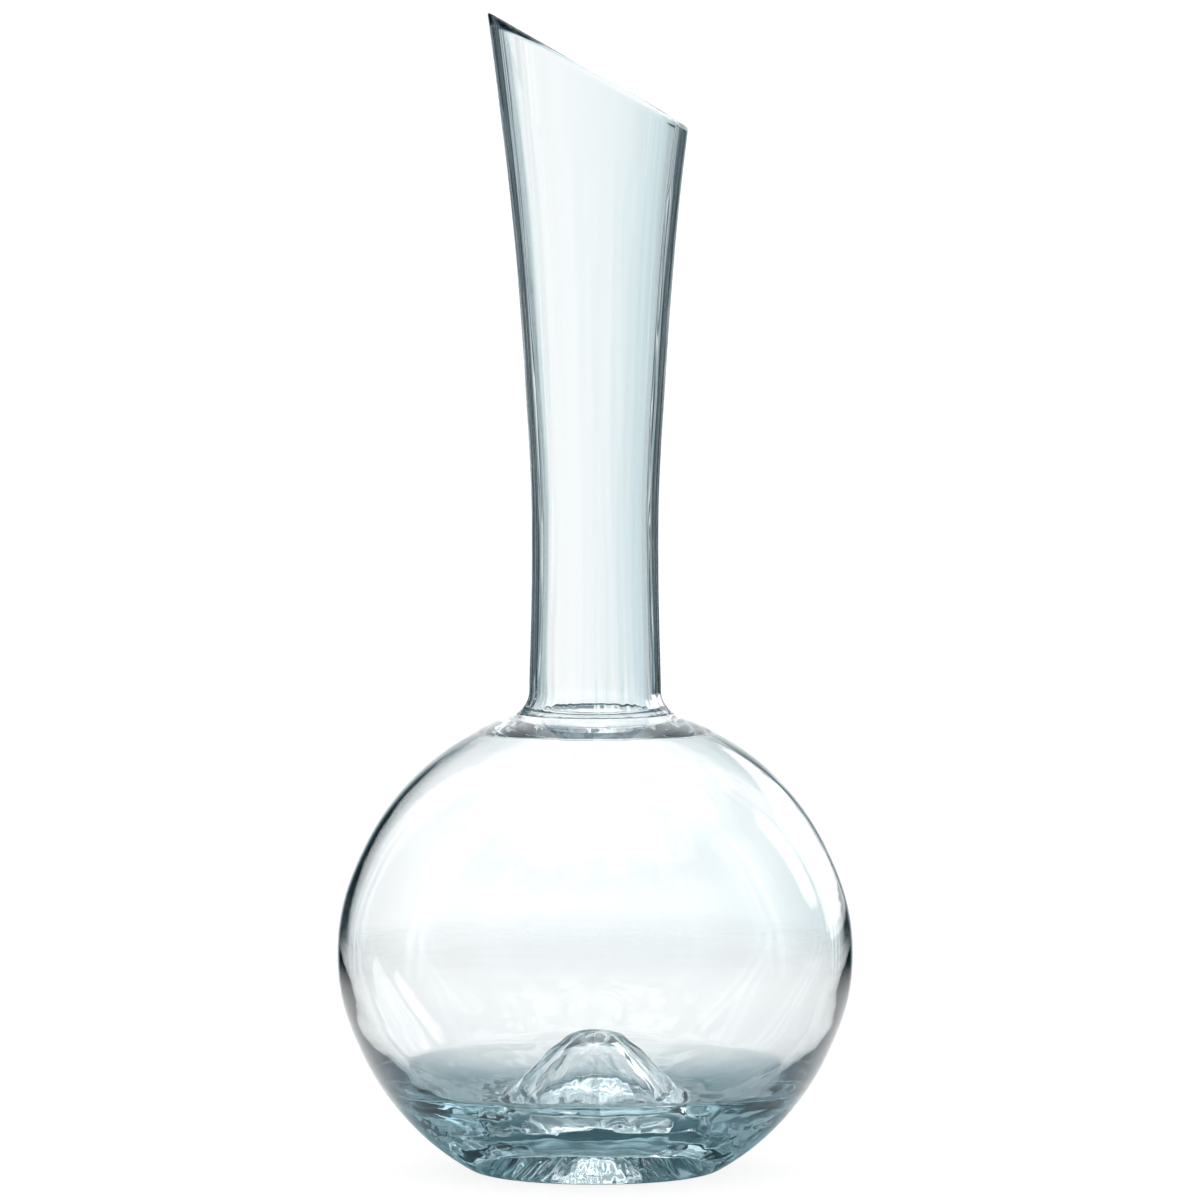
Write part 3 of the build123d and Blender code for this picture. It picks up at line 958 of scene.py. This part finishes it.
# %% [markdown]
# ## Sorting the light
#
# A ray's depths count how often it has been through glass, off a mirror or off matt paint. A ray
# that went through glass sees the sheet, one that glass mirrored sees the boards, and one that comes
# from the floor sees mostly the plain room, so that the floor stays evenly lit. The outer skin also
# mirrors a strip of the bright sheet behind it, which whitens the glass where it is seen edge-on.

# %% Which light belongs to which
OPEN_ROOM = 1.1  # brightness of the room where no glass is in the way
SHEET_HALF, SHEET_SOFT = 12, 10  # degrees: how far the strip goes each way, and its soft edge
FLOOR_SHARE = 0.8  # how much of the mirrored room the floor's own light leaves out
paths = add_node(room, "ShaderNodeLightPath").outputs
by_floor = add_node(room, "ShaderNodeMath", [paths["Diffuse Depth"], 1.0], operation="MINIMUM")
by_mirror = add_node(room, "ShaderNodeMath", [paths["Glossy Depth"], 1.0], operation="MINIMUM")
through = add_node(room, "ShaderNodeMath", [paths["Transmission Depth"], 1.0], operation="MINIMUM")
not_floor = add_node(room, "ShaderNodeMath", [1.0, by_floor], operation="SUBTRACT")
mostly = add_node(room, "ShaderNodeMath", [by_floor, -FLOOR_SHARE, 1.0], operation="MULTIPLY_ADD")
by_mirror = add_node(room, "ShaderNodeMath", [by_mirror, mostly], operation="MULTIPLY")
through = add_node(room, "ShaderNodeMath", [through, not_floor], operation="MULTIPLY")
bright = add_node(room, "ShaderNodeMix", {"Factor": through, "A": OPEN_ROOM, "B": passing})
facing = {"From Min": radians(SHEET_HALF), "From Max": radians(SHEET_HALF + SHEET_SOFT)}
facing = {**facing, "To Min": 1.0, "To Max": 0.0}
grazing = add_node(room, "ShaderNodeMapRange", {"Value": side_on, **facing}, **SOFT)
outer = add_node(room, "ShaderNodeMath", [1.0, through], operation="SUBTRACT")
grazing = add_node(room, "ShaderNodeMath", [grazing, outer], operation="MULTIPLY")
mirrored = add_node(room, "ShaderNodeMath", [mirrored, grazing], operation="ADD")
from_inside = add_node(room, "ShaderNodeMix", {"Factor": through, "A": 1.0, "B": kept})
mirrored = add_node(room, "ShaderNodeMath", [mirrored, from_inside], operation="MULTIPLY")
print("light paths sorted")

# %% [markdown]
# ## Colours of the room
#
# The boards aren't black. In clear glass a pure grey looks dirty, so the darker a part of the room
# is, the more it leans to the blue-green of the glass itself, and only its brightest parts are white.

# %% Colours
WHITE = linear("#FFFFFF")
BOARD_TINT, SHEET_TINT, CEILING_TINT = linear("#86B2C0"), linear("#E0F0F3"), linear("#B4CFD6")
BOARD_WHITE = 1.5  # brightness at which the boards' side of the room is white
SHEET_TINTED, SHEET_WHITE = 1.08, 1.23  # brightness at which the sheet is fully tinted, and white
tones = {"Value": mirrored, "From Max": BOARD_WHITE}
mirror_tone = add_node(room, "ShaderNodeMapRange", tones, **SOFT)
tones = {"Value": bright, "From Min": SHEET_TINTED, "From Max": SHEET_WHITE}
sheet_tone = add_node(room, "ShaderNodeMapRange", tones, **SOFT)
blend = {0: mirror_tone, 6: BOARD_TINT, 7: WHITE}
board_colour = add_node(room, "ShaderNodeMix", blend, data_type="RGBA").outputs[2]
blend = {0: sheet_tone, 6: SHEET_TINT, 7: WHITE}
sheet_colour = add_node(room, "ShaderNodeMix", blend, data_type="RGBA").outputs[2]
blend = {0: ceiling, 6: sheet_colour, 7: CEILING_TINT}
sheet_colour = add_node(room, "ShaderNodeMix", blend, data_type="RGBA").outputs[2]
blend = {0: through, 6: WHITE, 7: sheet_colour}
seen_colour = add_node(room, "ShaderNodeMix", blend, data_type="RGBA").outputs[2]
boards = add_node(room, "ShaderNodeBackground", {"Color": board_colour, "Strength": mirrored})
sheet_light = add_node(room, "ShaderNodeBackground", {"Color": seen_colour, "Strength": bright})
both = add_node(room, "ShaderNodeMixShader", [by_mirror, sheet_light, boards])
add_node(room, "ShaderNodeOutputWorld", {"Surface": both})
print("the room has", len(room.nodes), "nodes")

# %% [markdown]
# ## The camera
#
# The decanter is seen from about the height of its lip, far enough away that its sides stay nearly
# upright. Glass needs many bounces: a ray may cross eight or more skins before it leaves the bowl,
# and one that is caught in the wall of the lip is mirrored to and fro dozens of times.

# %% Camera
BOUNCES = 96
DISTANCE, EYE_HEIGHT = 2.6, 0.344
LOOK_SIDE, LOOK_HEIGHT = 0.0014, 0.1658
VIEW_WIDTH = 0.3465  # metres of the decanter's plane that the picture takes in
SENSOR = 36
camera_data = bpy.data.cameras.new("camera")
camera = bpy.data.objects.new("camera", camera_data)
scene.collection.objects.link(camera)
scene.camera = camera
camera.location = (LOOK_SIDE, -DISTANCE, EYE_HEIGHT)
camera.rotation_euler = (pi / 2 - atan2(EYE_HEIGHT - LOOK_HEIGHT, DISTANCE), 0, 0)
camera_data.sensor_width = SENSOR
camera_data.lens = SENSOR * DISTANCE / VIEW_WIDTH
camera_data.clip_end = 200
scene.view_settings.view_transform = "Standard"
scene.cycles.max_bounces = BOUNCES
scene.cycles.transmission_bounces = BOUNCES
scene.cycles.glossy_bounces = BOUNCES
print("lens", round(camera_data.lens, 1), "mm")
